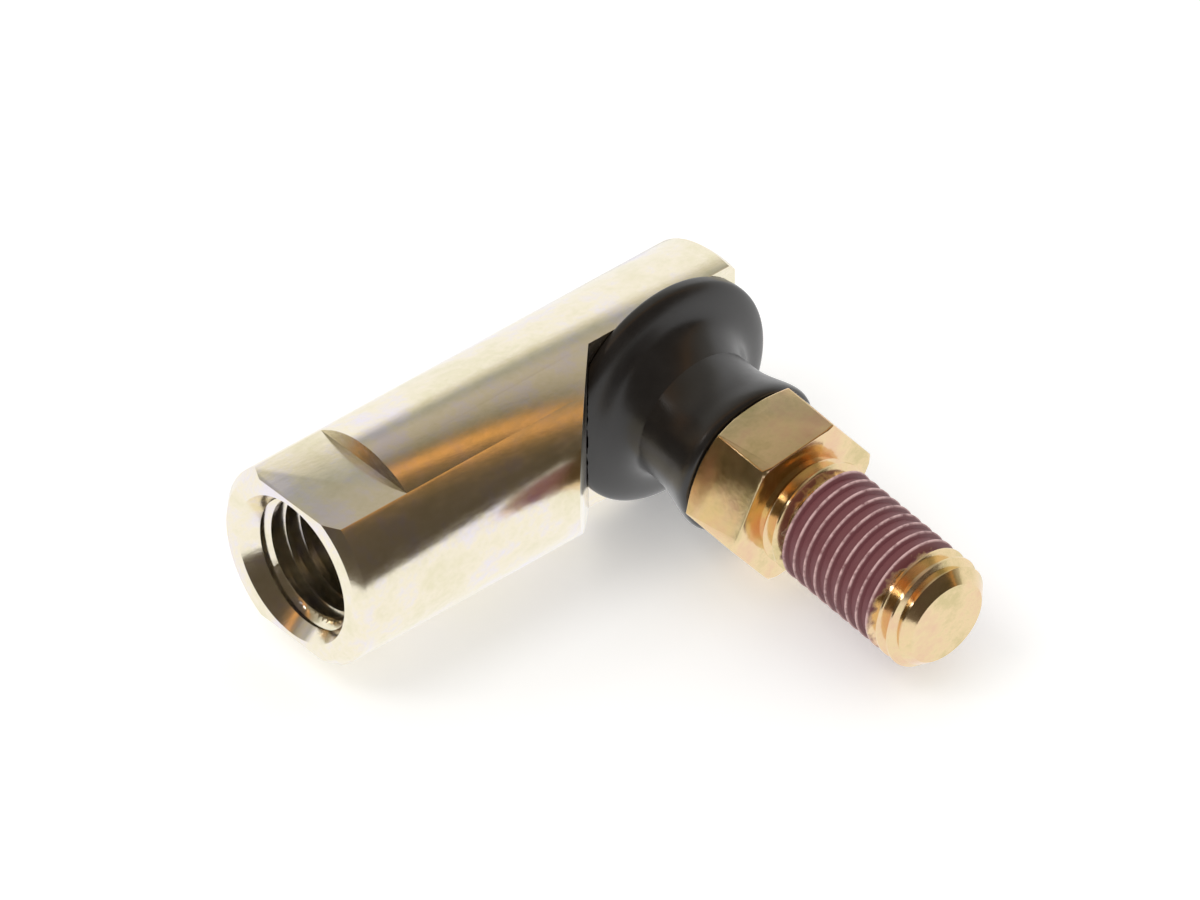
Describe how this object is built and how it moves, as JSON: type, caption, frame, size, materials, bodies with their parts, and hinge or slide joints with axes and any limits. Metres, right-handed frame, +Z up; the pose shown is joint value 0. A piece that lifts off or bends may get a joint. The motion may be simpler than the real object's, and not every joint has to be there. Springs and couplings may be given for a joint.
{
  "type": "angle ball joint",
  "caption": "Sealed angle ball joint: a threaded round shank with spanner flats, and a threaded ball stud leaving at a right angle through a rubber dust boot.",
  "frame": {"origin": "centre of the ball, where the shank's axis and the stud's axis cross", "axes": "-X along the shank, out of its threaded mouth; the stud leaves towards -Y, leaning 5 degrees below level; +Z up, square to the spanner flats"},
  "size_m": [0.0476, 0.0454, 0.0202],
  "materials": {
    "plated_steel": "yellow chromated zinc plate on turned steel",
    "acetal": "natural moulded acetal",
    "rubber": "satin moulded black rubber",
    "spring_steel": "bright spring wire"
  },
  "bodies": {
    "shank": {"housing": "plated_steel", "ball_bearing": "acetal"},
    "boot": {"dust_boot": "rubber"},
    "boot_neck": {"boot_clip": "spring_steel"},
    "stud": {"ball_stud": "plated_steel"}
  },
  "joints": [
    {"name": "stud_swing", "type": "hinge", "parent": "shank", "child": "boot", "pos_m": [0, 0, 0], "axis": [0, 0, 1], "range_deg": [-15, 15], "deforming": ["dust_boot"]},
    {"name": "stud_tilt", "type": "hinge", "parent": "boot", "child": "boot_neck", "pos_m": [0, 0, 0], "axis": [1, 0, 0], "range_deg": [-20, 10]},
    {"name": "stud_spin", "type": "hinge", "parent": "boot_neck", "child": "stud", "pos_m": [0, 0, 0], "axis": [0, -0.9962, -0.0872], "continuous": true}
  ]
}
